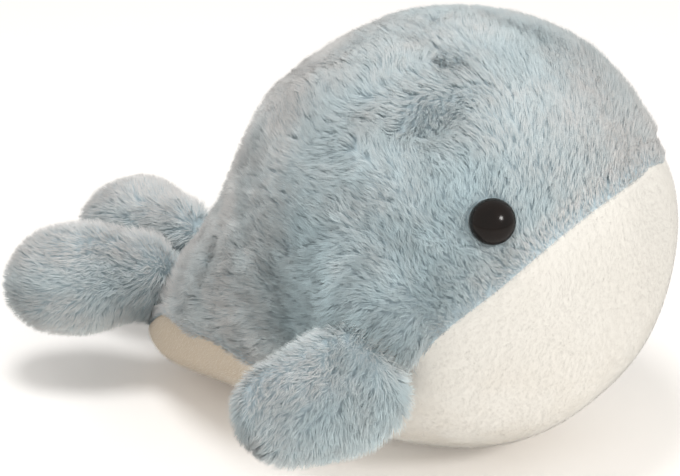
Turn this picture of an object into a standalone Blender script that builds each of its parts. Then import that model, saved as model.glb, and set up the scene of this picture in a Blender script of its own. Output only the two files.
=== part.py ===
# Plush whale: a ball-shaped stuffed body with a short tail, two side fins and two tail flukes.
# +X is the nose, +Z is up, and the whale's right side is -Y. The origin is on the floor,
# under the middle of the ball.

from math import acos, atan2, cos, pi, radians, sin

import bmesh
import bpy
from mathutils import Matrix, Vector

mm = 0.001

# Cloth, seams and running gaps
PILE_CLOTH = 6.0 * mm  # plush cloth, backing and standing pile together
SEAM_GAP = 0.4 * mm  # between two panels along a seam
FILLING_GAP = 0.3 * mm  # between the cloth and the stuffing
SEAT_GAP = 0.6 * mm  # round a limb's root, where it turns in the body
WELD = 0.01 * mm  # points closer than this on a turned piece's axis are one
GATHER_RADIUS = 1.2 * mm  # the small hole that is left where seams meet in a point

# Body
BALL_RADIUS = 95.0 * mm
TAIL_REACH = 161.0 * mm  # from the middle of the ball to the tail's end
NOSE_TILT = radians(22)  # the body's own axis points this far up at the front
REST_FLAT = 0.5 * mm  # how deep the flat that the belly rests on is cut into its lowest facets

# Side fins, and where the right one is sewn on
FIN_REACH = 55.6 * mm
FIN_ROOT_HALF_WIDTH = 25.6 * mm
FIN_ROOT_HALF_THICKNESS = 17.5 * mm
FIN_SWEEP = 7.2 * mm  # how far the tip bends back
FIN_ARCH = 3.0 * mm  # how far the tip bends outward
FIN_HINGE_OFF_BALL = 12.4 * mm  # hinge line's middle, outside the ball
FIN_HINGE_DIRECTION = Vector((0.041, -0.974, -0.221))  # seen from the ball's middle
FIN_POINTS = Vector((-0.666, -0.638, -0.387))
FIN_FACES = Vector((0.585, -0.768, 0.26))

# Tail flukes, and where the right one is sewn on
FLUKE_REACH = 62.0 * mm
FLUKE_ROOT_HALF_WIDTH = 17.0 * mm
FLUKE_ROOT_HALF_THICKNESS = 22.0 * mm
FLUKE_ARCH = -3.5 * mm  # the tip hangs a little
FLUKE_HINGE_BACK = 144.0 * mm
FLUKE_HINGE_OUT = 21.0 * mm
FLUKE_HINGE_DROP = 41.5 * mm  # below the ball's middle
FLUKE_POINTS = Vector((-0.935, -0.345, -0.08))
FLUKE_FACES = Vector((0.0, 0.0, 1.0))

# Safety eyes and their washers
EYE_RADIUS = 9.2 * mm
EYE_DOME_HEIGHT = 6.4 * mm
EYE_RIM = 1.2 * mm  # straight edge below the dome
EYE_SINK = 3.6 * mm  # how deep the rim sits in the pile
SHANK_RADIUS = 2.4 * mm
SHANK_LENGTH = 15.0 * mm
SHANK_RIBS = 5
SHANK_RIB_HEIGHT = 0.35 * mm
WASHER_RADIUS = 9.0 * mm
WASHER_THICKNESS = 1.6 * mm
WASHER_COLLAR = 1.2 * mm  # how far the collar round its hole stands out
WASHER_BITE = 0.4 * mm  # how far it presses into the back of the cloth
EYE_CLEARANCE = 0.3 * mm
OVERRUN = 4.0 * mm  # how far a cutter stands out of what it cuts
END_NUDGE = radians(0.1)  # keeps a stuffing's end points just off the point where all seams meet

# Facets
FRONT_ROWS = 9
REAR_ROWS = 10
BELLY_COLUMNS = 9
BACK_COLUMNS = 8
ROOT_ROWS = 3
TIP_ROWS = 7
LIMB_COLUMNS = 6
TURN_STEPS = 20
SEAT_STEPS = 20

# The rear body, from the middle of the ball to the tail's end. Each radius is a share of
# BALL_RADIUS, and each place a share of the quarter turn from the ball's middle to its tail end.
REAR_PLACE_SHARES = (0.0, 0.1, 0.2, 0.3, 0.4, 0.5, 0.6, 0.7, 0.8, 0.9, 1.0)
REAR_TOP_SHARES = (1.0, 0.965, 0.88, 0.665, 0.46, 0.33, 0.255, 0.205, 0.155, 0.095, 0.0)
REAR_BOTTOM_SHARES = (1.0, 0.965, 0.872, 0.772, 0.66, 0.53, 0.415, 0.32, 0.235, 0.135, 0.0)
REAR_SIDE_SHARES = (1.0, 0.965, 0.88, 0.77, 0.66, 0.55, 0.45, 0.355, 0.26, 0.15, 0.0)
REAR_DROOP_SHARES = (0.0, 0.0, 0.0, 0.0, 0.01, 0.03, 0.055, 0.085, 0.115, 0.14, 0.15)

# The seam between the back and the belly: places from the front point to the tail's end, and
# how far round from straight below the seam lies there, both as shares of a half turn.
SEAM_PLACE_SHARES = (0.0, 0.045, 0.095, 0.147, 0.195, 0.317, 0.472, 0.578, 0.678, 0.761, 0.833, 1.0)
SEAM_ROUND_SHARES = (0.50, 0.535, 0.55, 0.533, 0.511, 0.464, 0.406, 0.378, 0.395, 0.478, 0.56, 0.58)

# Where the right eye sits, as shares of a half turn like the seam
EYE_PLACE_SHARE = 0.294
EYE_ROUND_SHARE = 0.583

# A limb's swell, from its hinge line to its tip, as shares of its root's half sizes
LIMB_PLACE_SHARES = (0.0, 0.25, 0.5, 0.75, 0.9, 1.0)
FIN_WIDTH_SHARES = (1.0, 1.05, 0.95, 0.55, 0.23, 0.0)
FIN_THICKNESS_SHARES = (1.0, 1.13, 0.90, 0.62, 0.26, 0.0)
FLUKE_WIDTH_SHARES = (1.0, 1.36, 1.27, 0.80, 0.36, 0.0)
FLUKE_THICKNESS_SHARES = (1.0, 1.22, 1.13, 0.64, 0.28, 0.0)

# The eye's dome, as shares of its radius and its height, from the top down
DOME_RADIUS_SHARES = (0.0, 0.26, 0.50, 0.71, 0.87, 0.965, 1.0)
DOME_HEIGHT_SHARES = (1.0, 0.966, 0.866, 0.704, 0.493, 0.262, 0.0)

BLUE = (0.27, 0.42, 0.55)
CREAM = (0.80, 0.76, 0.69)
FIBRE = (0.85, 0.85, 0.83)
BLACK = (0.006, 0.005, 0.005)
WHITE_PLASTIC = (0.75, 0.75, 0.73)


def clear_scene():
    for thing in list(bpy.data.objects):
        bpy.data.objects.remove(thing)


def collection(name):
    made = bpy.data.collections.new(name)
    bpy.context.scene.collection.children.link(made)
    return made


def material(name, colour, roughness):
    made = bpy.data.materials.new(name)
    made.use_nodes = True
    shader = made.node_tree.nodes["Principled BSDF"]
    shader.inputs["Base Color"].default_value = (*colour, 1.0)
    shader.inputs["Roughness"].default_value = roughness
    shader.inputs["Metallic"].default_value = 0.0
    return made


def along(places, values, place):
    """The value at a place on the smooth curve through the values at the given places."""
    last = len(places) - 1
    place = min(max(place, places[0]), places[last])
    i = 0
    while i < last - 1 and place > places[i + 1]:
        i += 1

    def slope(n):
        if n == 0:
            return 0.0  # every curve here starts level
        before, after = n - 1, min(n + 1, last)
        return (values[after] - values[before]) / (places[after] - places[before])

    step = places[i + 1] - places[i]
    u = (place - places[i]) / step
    start = values[i] * (1 + 2 * u) * (1 - u) ** 2 + slope(i) * step * u * (1 - u) ** 2
    end = values[i + 1] * u * u * (3 - 2 * u) + slope(i + 1) * step * u * u * (u - 1)
    return start + end


def right_seam(turn):
    return pi * along(SEAM_PLACE_SHARES, SEAM_ROUND_SHARES, turn / pi)


def left_seam(turn):
    return -right_seam(turn)


def top_seam(turn):
    return pi


def top_seam_from_left(turn):
    return -pi


def middle_height():
    """The height of the ball's middle. A facet lies a little inside the round form, so the
    belly's lowest facets, not the round form, reach REST_FLAT below the floor."""
    half_facet = right_seam(pi / 2 + NOSE_TILT) / BELLY_COLUMNS
    return BALL_RADIUS * cos(half_facet) - REST_FLAT


def on_body(turn, around):
    """A point of the body's surface. turn runs from 0 at the front point to pi at the tail's
    end, and around from 0 straight below, over pi/2 on the whale's right, to pi on top."""
    if turn <= pi / 2:
        axial = BALL_RADIUS * cos(turn)
        top = bottom = side = BALL_RADIUS * sin(turn)
        droop = 0.0
    else:
        place = (turn - pi / 2) / (pi / 2)
        axial = -TAIL_REACH * sin(place * pi / 2)
        top = BALL_RADIUS * along(REAR_PLACE_SHARES, REAR_TOP_SHARES, place)
        bottom = BALL_RADIUS * along(REAR_PLACE_SHARES, REAR_BOTTOM_SHARES, place)
        side = BALL_RADIUS * along(REAR_PLACE_SHARES, REAR_SIDE_SHARES, place)
        droop = BALL_RADIUS * along(REAR_PLACE_SHARES, REAR_DROOP_SHARES, place)
    down = cos(around)
    rise = -(bottom if down > 0 else top) * down - droop
    out = -side * sin(around)
    x = axial * cos(NOSE_TILT) - rise * sin(NOSE_TILT)
    z = axial * sin(NOSE_TILT) + rise * cos(NOSE_TILT)
    return Vector((x, out, z + middle_height()))


def on_limb(limb, turn, around):
    """A point of a limb's surface, in the limb's own axes: x along its reach, z out of its face.
    turn runs from 0 at the middle of its root to pi at its tip. The root is round about y,
    so that it turns in its seat without touching it."""
    if turn <= pi / 2:
        reach = -limb["half_thickness"] * cos(turn)
        wide = limb["half_width"] * sin(turn)
        thick = limb["half_thickness"] * sin(turn)
        bend = 0.0
    else:
        place = (turn - pi / 2) / (pi / 2)
        reach = limb["reach"] * sin(place * pi / 2)
        wide = limb["half_width"] * along(LIMB_PLACE_SHARES, limb["width_shares"], place)
        thick = limb["half_thickness"] * along(LIMB_PLACE_SHARES, limb["thickness_shares"], place)
        bend = sin(place * pi / 2) ** 2
    across = wide * cos(around) - limb["sweep"] * bend
    out = thick * sin(around) + limb["arch"] * bend
    return Vector((reach, limb["side"] * across, out))


def sunk(surface, turn, around, depth, hand=1):
    """The surface's point, moved inward by depth, square to the surface. hand is -1 on a
    surface that is mirrored."""
    nudge = radians(0.05)
    turnwise = surface(turn + nudge, around) - surface(turn - nudge, around)
    aroundwise = surface(turn, around + nudge) - surface(turn, around - nudge)
    outward = aroundwise.cross(turnwise).normalized() * hand
    return surface(turn, around) - outward * depth


def pace(surface, turn, around):
    """The length on the surface for each radian around."""
    nudge = radians(0.05)
    return (surface(turn, around + nudge) - surface(turn, around - nudge)).length / (2 * nudge)


def row_turn(row, first_rows, last_rows, largest_radius):
    """The turn at a row's edge: first_rows rows run from the gather hole at the first end to
    the widest place, and last_rows rows from there to the gather hole at the last end."""
    first = GATHER_RADIUS / largest_radius
    quarter = pi / 2 - first
    if row <= first_rows:
        return first + quarter * row / first_rows
    return pi / 2 + quarter * (row - first_rows) / last_rows


def body_turn(row):
    return row_turn(row, FRONT_ROWS, REAR_ROWS, BALL_RADIUS)


def limb_turn(limb, row):
    return row_turn(row, ROOT_ROWS, TIP_ROWS, limb["half_width"])


def off_ends(turn):
    return min(max(turn, END_NUDGE), pi - END_NUDGE)


def mesh_object(name, bm, finish, folder):
    # Facets are split along their shorter diagonal, so that facing pieces are split alike.
    bmesh.ops.triangulate(bm, faces=bm.faces[:], quad_method="SHORT_EDGE")
    bm.normal_update()
    bmesh.ops.recalc_face_normals(bm, faces=bm.faces[:])
    data = bpy.data.meshes.new(name)
    bm.to_mesh(data)
    bm.free()
    if finish:
        data.materials.append(finish)
    data.shade_smooth()
    data.set_sharp_from_angle(angle=radians(50))
    made = bpy.data.objects.new(name, data)
    folder.objects.link(made)
    return made


def cloth_panel(name, rows, columns, place, finish, folder):
    """A slab one row of facets thick, wrapped onto a surface. place gives the point for the
    number of a row's edge, a share across, and 0 on the pile's side or 1 on the backing's."""
    bm = bmesh.new()
    bmesh.ops.create_grid(bm, x_segments=rows, y_segments=columns, size=0.5)
    made = bmesh.ops.extrude_face_region(bm, geom=bm.faces[:])
    backing = {v for v in made["geom"] if isinstance(v, bmesh.types.BMVert)}
    for v in bm.verts:
        row = round((v.co.x + 0.5) * rows)
        v.co = place(row, v.co.y + 0.5, 1 if v in backing else 0)
    return mesh_object(name, bm, finish, folder)


def stuffing(name, rows, columns, place, finish, folder):
    """A ball of facets, wrapped onto a surface. place gives the point for the number of a row's
    edge, which is -1 or rows + 1 at the ball's two ends, and for a column's number."""
    bm = bmesh.new()
    rings = rows + 2
    bmesh.ops.create_uvsphere(bm, u_segments=columns, v_segments=rings, radius=1)
    for v in bm.verts:
        row = round(acos(max(-1.0, min(1.0, v.co.z))) / pi * rings) - 1
        column = round(atan2(v.co.y, v.co.x) / (2 * pi) * columns) % columns
        v.co = place(row, column)
    return mesh_object(name, bm, finish, folder)


def body_cloth(name, low_edge, high_edge, columns, finish, folder):
    """A panel of the body between two seams, each a function of the turn. The first lies at
    the smaller angle round."""

    def place(row, across, backing):
        turn = body_turn(row)
        low, high = low_edge(turn), high_edge(turn)
        low += SEAM_GAP / 2 / pace(on_body, turn, low)
        high -= SEAM_GAP / 2 / pace(on_body, turn, high)
        return sunk(on_body, turn, low + (high - low) * across, PILE_CLOTH * backing)

    return cloth_panel(name, FRONT_ROWS + REAR_ROWS, columns, place, finish, folder)


def body_stuffing(name, finish, folder):
    def place(row, column):
        turn = off_ends(body_turn(row))
        seam = right_seam(turn)
        if column <= BELLY_COLUMNS:
            around = seam * (2 * column / BELLY_COLUMNS - 1)
        elif column <= BELLY_COLUMNS + BACK_COLUMNS:
            around = seam + (pi - seam) * (column - BELLY_COLUMNS) / BACK_COLUMNS
        else:
            around = pi + (pi - seam) * (column - BELLY_COLUMNS - BACK_COLUMNS) / BACK_COLUMNS
        return sunk(on_body, turn, around, PILE_CLOTH + FILLING_GAP)

    columns = BELLY_COLUMNS + 2 * BACK_COLUMNS
    return stuffing(name, FRONT_ROWS + REAR_ROWS, columns, place, finish, folder)


def frame(place, forward, out):
    """A placement with x along forward, z nearest to out."""
    x = forward.normalized()
    y = out.cross(x).normalized()
    z = x.cross(y)
    turned = Matrix((x, y, z)).transposed().to_4x4()
    return Matrix.Translation(place) @ turned


def mirrored(vector):
    return Vector((vector.x, -vector.y, vector.z))


def limb_sizes(kind, side):
    if kind == "fin":
        middle = Vector((0, 0, middle_height()))
        off = BALL_RADIUS + FIN_HINGE_OFF_BALL
        limb = {
            "reach": FIN_REACH,
            "half_width": FIN_ROOT_HALF_WIDTH,
            "half_thickness": FIN_ROOT_HALF_THICKNESS,
            "sweep": FIN_SWEEP,
            "arch": FIN_ARCH,
            "width_shares": FIN_WIDTH_SHARES,
            "thickness_shares": FIN_THICKNESS_SHARES,
        }
        hinge = middle + FIN_HINGE_DIRECTION.normalized() * off
        points, faces = FIN_POINTS, FIN_FACES
    else:
        limb = {
            "reach": FLUKE_REACH,
            "half_width": FLUKE_ROOT_HALF_WIDTH,
            "half_thickness": FLUKE_ROOT_HALF_THICKNESS,
            "sweep": 0.0,
            "arch": FLUKE_ARCH,
            "width_shares": FLUKE_WIDTH_SHARES,
            "thickness_shares": FLUKE_THICKNESS_SHARES,
        }
        hinge = Vector((-FLUKE_HINGE_BACK, -FLUKE_HINGE_OUT, middle_height() - FLUKE_HINGE_DROP))
        points, faces = FLUKE_POINTS, FLUKE_FACES
    limb["side"] = 1 if side == "right" else -1
    if side == "left":
        hinge, points, faces = mirrored(hinge), mirrored(points), mirrored(faces)
    limb["frame"] = frame(hinge, points, faces)
    return limb


def limb_pieces(name, limb, face_name, back_name, finishes, folder):
    """A limb's two cloth panels, sewn together round its rim, and its stuffing."""

    def surface(turn, around):
        return on_limb(limb, turn, around)

    def panel_place(first):
        def place(row, across, backing):
            turn = limb_turn(limb, row)
            low = first + SEAM_GAP / 2 / pace(surface, turn, first)
            high = first + pi - SEAM_GAP / 2 / pace(surface, turn, first + pi)
            around = low + (high - low) * across
            return sunk(surface, turn, around, PILE_CLOTH * backing, limb["side"])

        return place

    def stuffing_place(row, column):
        turn = off_ends(limb_turn(limb, row))
        around = pi * column / LIMB_COLUMNS
        return sunk(surface, turn, around, PILE_CLOTH + FILLING_GAP, limb["side"])

    rows = ROOT_ROWS + TIP_ROWS
    blue, fibre = finishes["blue"], finishes["fibre"]
    pieces = [
        cloth_panel(f"{name}_{face_name}_panel", rows, LIMB_COLUMNS, panel_place(0), blue, folder),
        cloth_panel(f"{name}_{back_name}_panel", rows, LIMB_COLUMNS, panel_place(pi), blue, folder),
        stuffing(f"{name}_filling", rows, 2 * LIMB_COLUMNS, stuffing_place, fibre, folder),
    ]
    for piece in pieces:
        piece.matrix_world = limb["frame"]
    return pieces


def turned(name, outline, finish, folder, placement):
    """A turned piece: its outline, as radius and height from the top down, spun about z."""
    bm = bmesh.new()
    points = [bm.verts.new((radius, 0, height)) for radius, height in outline]
    for first, second in zip(points, points[1:]):
        bm.edges.new((first, second))
    if outline[0][0] > 0:
        bm.edges.new((points[-1], points[0]))
    data = bpy.data.meshes.new(name)
    bm.to_mesh(data)
    bm.free()
    if finish:
        data.materials.append(finish)
    made = bpy.data.objects.new(name, data)
    folder.objects.link(made)
    spin = made.modifiers.new("Spin", "SCREW")
    spin.axis = "Z"
    spin.steps = spin.render_steps = TURN_STEPS
    spin.use_merge_vertices = True
    spin.merge_threshold = WELD
    spin.use_smooth_shade = True
    made.matrix_world = placement
    return made


def eye_placement(side):
    turn, around = pi * EYE_PLACE_SHARE, pi * EYE_ROUND_SHARE * side
    on = on_body(turn, around)
    outward = on - sunk(on_body, turn, around, PILE_CLOTH)
    return frame(on, Vector((0, 0, 1)).cross(outward), outward)


def eye_outline():
    rim = -EYE_SINK
    outline = [
        (EYE_RADIUS * across, rim + EYE_RIM + EYE_DOME_HEIGHT * up)
        for across, up in zip(DOME_RADIUS_SHARES, DOME_HEIGHT_SHARES)
    ]
    outline += [(EYE_RADIUS, rim), (SHANK_RADIUS, rim)]
    ribs_start = -(PILE_CLOTH + WASHER_THICKNESS + WASHER_COLLAR)
    end = rim - SHANK_LENGTH
    pitch = (ribs_start - end) / (SHANK_RIBS + 1)
    for rib in range(SHANK_RIBS):
        top = ribs_start - pitch * rib
        outline += [(SHANK_RADIUS, top), (SHANK_RADIUS + SHANK_RIB_HEIGHT, top - pitch / 2)]
    outline += [(SHANK_RADIUS, end + pitch), (SHANK_RADIUS / 2, end), (0, end)]
    return outline


def washer_front():
    return -(PILE_CLOTH - WASHER_BITE + EYE_CLEARANCE)


def washer_outline():
    front = washer_front()
    back = front - WASHER_THICKNESS
    hole = SHANK_RADIUS + SHANK_RIB_HEIGHT + EYE_CLEARANCE
    collar = hole + WASHER_THICKNESS
    return [
        (WASHER_RADIUS, front),
        (WASHER_RADIUS, back),
        (collar, back),
        (collar, back - WASHER_COLLAR),
        (hole, back - WASHER_COLLAR),
        (hole, front),
    ]


def eye_socket_outline():
    """What the eye and its washer take out of the cloth: the rim's bed in the pile, the
    shank's hole, and the washer's bed in the backing."""
    bed = -(EYE_SINK + EYE_CLEARANCE)
    washer_bed = -(PILE_CLOTH - WASHER_BITE)
    hole = SHANK_RADIUS + EYE_CLEARANCE
    rim, washer = EYE_RADIUS + EYE_CLEARANCE, WASHER_RADIUS + EYE_CLEARANCE
    return [
        (0, OVERRUN),
        (rim, OVERRUN),
        (rim, bed),
        (hole, bed),
        (hole, washer_bed),
        (washer, washer_bed),
        (washer, -(PILE_CLOTH + OVERRUN)),
        (0, -(PILE_CLOTH + OVERRUN)),
    ]


def eye_pocket_outline():
    """The room in the stuffing for the washer and the end of the shank."""
    washer = WASHER_RADIUS + EYE_CLEARANCE
    shank = SHANK_RADIUS + SHANK_RIB_HEIGHT + EYE_CLEARANCE
    washer_end = washer_front() - WASHER_THICKNESS - WASHER_COLLAR - EYE_CLEARANCE
    shank_end = -(EYE_SINK + SHANK_LENGTH + EYE_CLEARANCE)
    return [
        (0, 0),
        (washer, 0),
        (washer, washer_end),
        (shank, washer_end),
        (shank, shank_end),
        (0, shank_end),
    ]


def cutter(made):
    made.hide_render = True
    made.display_type = "WIRE"
    return made


def seat_cutter(name, limb, folder):
    """The room that a limb's round root takes out of the body: round about the limb's y."""
    bm = bmesh.new()
    bmesh.ops.create_uvsphere(bm, u_segments=SEAT_STEPS, v_segments=SEAT_STEPS // 2, radius=1)
    deep, wide = limb["half_thickness"] + SEAT_GAP, limb["half_width"] + SEAT_GAP
    bm.transform(Matrix.Rotation(pi / 2, 4, "X") @ Matrix.Diagonal((deep, deep, wide, 1)))
    made = mesh_object(name, bm, None, folder)
    made.matrix_world = limb["frame"]
    return cutter(made)


def floor_cutter(folder):
    """Everything below the floor, to cut the belly's flat."""
    bm = bmesh.new()
    bmesh.ops.create_cube(bm, size=1)
    spread = BALL_RADIUS + TAIL_REACH
    low = Matrix.Translation((0, 0, -BALL_RADIUS / 2))
    bm.transform(low @ Matrix.Diagonal((2 * spread, 2 * spread, BALL_RADIUS, 1)))
    return cutter(mesh_object("floor_cutter", bm, None, folder))


def cut(piece, tools):
    for tool in tools:
        boolean = piece.modifiers.new(tool.name, "BOOLEAN")
        boolean.operation = "DIFFERENCE"
        boolean.object = tool


def hang_from(parent_name, placement, pieces, folder, parent=None):
    """An empty at the placement, which carries the pieces."""
    holder = bpy.data.objects.new(parent_name, None)
    holder.matrix_world = placement
    folder.objects.link(holder)
    if parent:
        holder.parent = parent
    for piece in pieces:
        here = piece.matrix_world.copy()
        piece.parent = holder
        piece.matrix_parent_inverse = placement.inverted()
        piece.matrix_world = here
    return holder


def build():
    clear_scene()
    whale = collection("plush_whale")
    cutters = collection("cutters")
    finishes = {
        "blue": material("blue_plush", BLUE, 0.95),
        "cream": material("cream_plush", CREAM, 0.95),
        "fibre": material("stuffing_fibre", FIBRE, 1.0),
        "eye": material("black_eye", BLACK, 0.08),
        "washer": material("white_plastic", WHITE_PLASTIC, 0.5),
    }

    blue, cream = finishes["blue"], finishes["cream"]
    belly = body_cloth("belly_panel", left_seam, right_seam, BELLY_COLUMNS, cream, whale)
    back_right = body_cloth("back_panel_right", right_seam, top_seam, BACK_COLUMNS, blue, whale)
    back_left = body_cloth("back_panel_left", top_seam_from_left, left_seam, BACK_COLUMNS, blue, whale)
    filling = body_stuffing("body_filling", finishes["fibre"], whale)
    cut(belly, [floor_cutter(cutters)])
    body = [belly, back_right, back_left, filling]
    holder = hang_from("whale", Matrix.Identity(4), body, whale)

    for side, back in (("right", back_right), ("left", back_left)):
        for kind, face_name, back_name in (("fin", "outer", "inner"), ("fluke", "top", "under")):
            limb = limb_sizes(kind, side)
            name = f"{kind}_{side}"
            pieces = limb_pieces(name, limb, face_name, back_name, finishes, whale)
            hang_from(f"{name}_hinge", limb["frame"], pieces, whale, holder)
            seat = seat_cutter(f"{name}_seat", limb, cutters)
            for piece in (belly, back, filling):
                cut(piece, [seat])
            place = [round(c, 6) for c in limb["frame"].translation]
            axis = [round(c, 6) for c in limb["frame"].to_3x3() @ Vector((0, -1, 0))]
            print(name, "hinge", place, "axis", axis)

        placement = eye_placement(1 if side == "right" else -1)
        eye = turned(f"eye_{side}", eye_outline(), finishes["eye"], whale, placement)
        washer = turned(f"eye_washer_{side}", washer_outline(), finishes["washer"], whale, placement)
        hang_from(f"eye_{side}_place", placement, [eye, washer], whale, holder)
        socket = turned(f"eye_{side}_socket", eye_socket_outline(), None, cutters, placement)
        pocket = turned(f"eye_{side}_pocket", eye_pocket_outline(), None, cutters, placement)
        cut(back, [cutter(socket)])
        cut(filling, [cutter(pocket)])


build()
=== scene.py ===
# A plush whale: long tousled blue pile on the back, fins and flukes, short cream pile on the belly.
# Metres, in the frame's axes: +X is the nose, +Z is up, the whale's right side is -Y.
from math import cos, pi, radians, sin

import bpy
import numpy as np
from mathutils import Matrix, Vector, kdtree
from mathutils.bvhtree import BVHTree


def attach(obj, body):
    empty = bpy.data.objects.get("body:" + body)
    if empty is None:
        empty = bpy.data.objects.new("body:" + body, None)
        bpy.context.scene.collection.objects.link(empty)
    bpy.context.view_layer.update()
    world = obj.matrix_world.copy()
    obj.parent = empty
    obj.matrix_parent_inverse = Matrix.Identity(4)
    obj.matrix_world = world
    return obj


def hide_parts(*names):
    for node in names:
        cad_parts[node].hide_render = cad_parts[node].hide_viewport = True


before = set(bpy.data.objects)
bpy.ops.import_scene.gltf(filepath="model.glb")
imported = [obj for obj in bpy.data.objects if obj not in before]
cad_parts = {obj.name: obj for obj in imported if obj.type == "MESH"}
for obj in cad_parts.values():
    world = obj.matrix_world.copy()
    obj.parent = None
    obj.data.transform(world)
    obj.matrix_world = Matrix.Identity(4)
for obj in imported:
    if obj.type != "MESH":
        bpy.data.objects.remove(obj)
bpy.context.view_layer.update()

mm = 0.001


# Camera, floor and light

shot = {
    "turned": radians(22),  # round from the whale's right side towards its nose
    "above": radians(23.5),
    "distance": 1.15,
    "lens": 142.5,  # mm
    "aimAside": 49.1 * mm,  # the view's middle, left of the ball's middle
    "aimBelow": 5.6 * mm,
}

studio = {
    "worldLight": 0.585,
    "worldColour": (1.0, 0.99, 0.975),
    "keyPower": 4.7,
    "keySize": 0.23,
    "keyColour": (1.0, 0.985, 0.96),
    "keyWay": (0.60, 0.76, 0.22),  # shares of right, towards the camera and up
    "fillWay": (-0.20, 0.90, 0.10),
    "lampDistance": 1.25,
    "topPower": 7.6,
    "topSize": 0.5,
    "topPlace": (-0.12, -0.20, 1.3),
    "fillPower": 1.0,
    "fillSize": 1.0,
    "floorSize": 8.0,
    "floorColour": (1.0, 0.98, 0.96),
    "floorWarmth": (1.0, 0.94, 0.88),
    "floorLift": 0.115,  # what the camera sees added to the floor
    "floorBounce": 0.12,  # what the floor adds to the light from below
}


# The stuffed forms: the body from a front point to the tail's end, and the limbs from hinge to tip

body = {
    "radius": 95 * mm,
    "middleUp": 93.64 * mm,
    "tailReach": 161 * mm,
    "tilt": radians(22),
    "places": (0.0, 0.1, 0.2, 0.3, 0.4, 0.5, 0.6, 0.7, 0.8, 0.9, 1.0),
    "top": (1.0, 0.965, 0.88, 0.665, 0.46, 0.33, 0.255, 0.205, 0.155, 0.095, 0.0),
    "bottom": (1.0, 0.965, 0.872, 0.772, 0.66, 0.53, 0.415, 0.32, 0.235, 0.135, 0.0),
    "side": (1.0, 0.965, 0.88, 0.77, 0.66, 0.55, 0.45, 0.355, 0.26, 0.15, 0.0),
    "droop": (0.0, 0.0, 0.0, 0.0, 0.01, 0.03, 0.055, 0.085, 0.115, 0.14, 0.15),
    "blueDepth": 5.2 * mm,  # the backing cloth, below the pile's tips
    "creamDepth": 1.1 * mm,
    "offFloor": 1.2 * mm,
    "uneven": 0.7 * mm,  # how far the stuffing bulges and sags, and how broadly
    "unevenSize": 60 * mm,
    "segments": 192,
    "rings": 128,
    "fill": 0.9,
}

# The seam between blue and cream: how far round from straight below, in degrees, at each turn
seam = {
    "dipSides": (0.02, 0.28),  # the far side's dip grows between these shares of the radius
    "dipTurns": (30, 60),  # and fades out between these turns
    "noseEnds": 60,
    "noseFade": 15,
    "turns": (0, 60, 72, 84.7, 104, 122, 128, 137, 144, 160, 180),
    "rounds": (82, 82.5, 78.8, 73, 68, 72, 81, 86, 103, 104, 104),
    "noseTurns": (0, 11.4, 17.2, 26.4, 35, 45, 57, 72, 84.7),
    "noseLifts": (0.050, 0.060, 0.060, 0.044, 0.017, -0.025, -0.0935, -0.185, -0.291),
    "leftDip": 5 * mm,  # the photographed seam runs lower on the nose's far side
    "foldDepth": 0.7 * mm,
    "foldWidth": 5 * mm,
    "blend": 8 * mm,  # over which the blue pile reaches its whole length
}

eye = {
    "segments": 72,
    "rings": 48,
    "neck": 0.9,  # of the rim's radius
    "neckDepth": 0.3 * mm,
    "shank": 0.62,  # share of the radius that the inset takes
    "shankDepth": 4 * mm,
    "smoothBelow": radians(40),
    "turn": radians(52.9),
    "round": radians(105),
    "radius": 9.3 * mm,
    "dome": 6.6 * mm,
    "rim": 1.4 * mm,
    "sink": 3.6 * mm,
    "dimple": 0.9 * mm,
    "dimpleWidth": 17 * mm,
}

fin = {
    "hinge": (4.405 * mm, -104.65 * mm, 69.928 * mm),
    "points": (-0.666, -0.638, -0.387),
    "faces": (0.585, -0.768, 0.26),
    "reach": 55.6 * mm,
    "halfWidth": 25.6 * mm,
    "halfThickness": 17.5 * mm,
    "sweep": 7.2 * mm,
    "arch": 3 * mm,
    "width": (1.0, 1.05, 0.95, 0.55, 0.23, 0.0),
    "thickness": (1.0, 1.13, 0.90, 0.62, 0.26, 0.0),
}

fluke = {
    "hinge": (-144 * mm, -21 * mm, 52.173 * mm),
    "points": (-0.935, -0.345, -0.08),
    "faces": (0.0, 0.0, 1.0),
    "reach": 62 * mm,
    "halfWidth": 17 * mm,
    "halfThickness": 22 * mm,
    "sweep": 0.0,
    "arch": -3.5 * mm,
    "width": (1.0, 1.36, 1.27, 0.80, 0.36, 0.0),
    "thickness": (1.0, 1.22, 1.13, 0.64, 0.28, 0.0),
}

limbPlaces = (0.0, 0.25, 0.5, 0.75, 0.9, 1.0)

rootSwell = {  # the body rises above and before a fin, down to the seam
    "rise": 13 * mm,
    "fade": 0.95,  # in radii of the root
    "faces": (0.5, 0.0, 0.85),
    "facing": (-0.2, 0.6),
    "seamFade": 12 * mm,
}

limbSkin = {
    "depth": 5.0 * mm,
    "segments": 72,
    "rings": 56,
    "fill": 0.8,
    "hidden": 6 * mm,  # strands deeper in the body than this are left out,
    "bare": radians(108),  # up to this turn from the root
    "uneven": 0.5 * mm,
    "unevenSize": 40 * mm,
    "seatRoom": 1.0 * mm,
}


# Piles: how many strands grow on a square metre, and how one strand and its tuft lie

bluePile = {
    "perArea": 2.6e6,
    "length": 7.8 * mm,
    "uneven": 0.09,
    "width": 0.125 * mm,
    "rootLean": radians(20),
    "tipLean": radians(63),
    "stray": 0.20,
    "tuft": 14,  # strands in a tuft
    "tuftPull": 0.20,
    "tuftStray": 0.34,
    "buried": 0.8 * mm,
    "softness": 0.89,  # how far the strands' shading follows the cloth below
}

creamPile = {
    "perArea": 1.2e6,
    "length": 2.2 * mm,
    "uneven": 0.05,
    "width": 0.038 * mm,
    "rootLean": radians(54),
    "tipLean": radians(83),
    "stray": 0.09,
    "tuft": 10,
    "tuftPull": 0.0,
    "tuftStray": 0.09,
    "buried": 0.2 * mm,
    "softness": 0.99,
}


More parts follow.
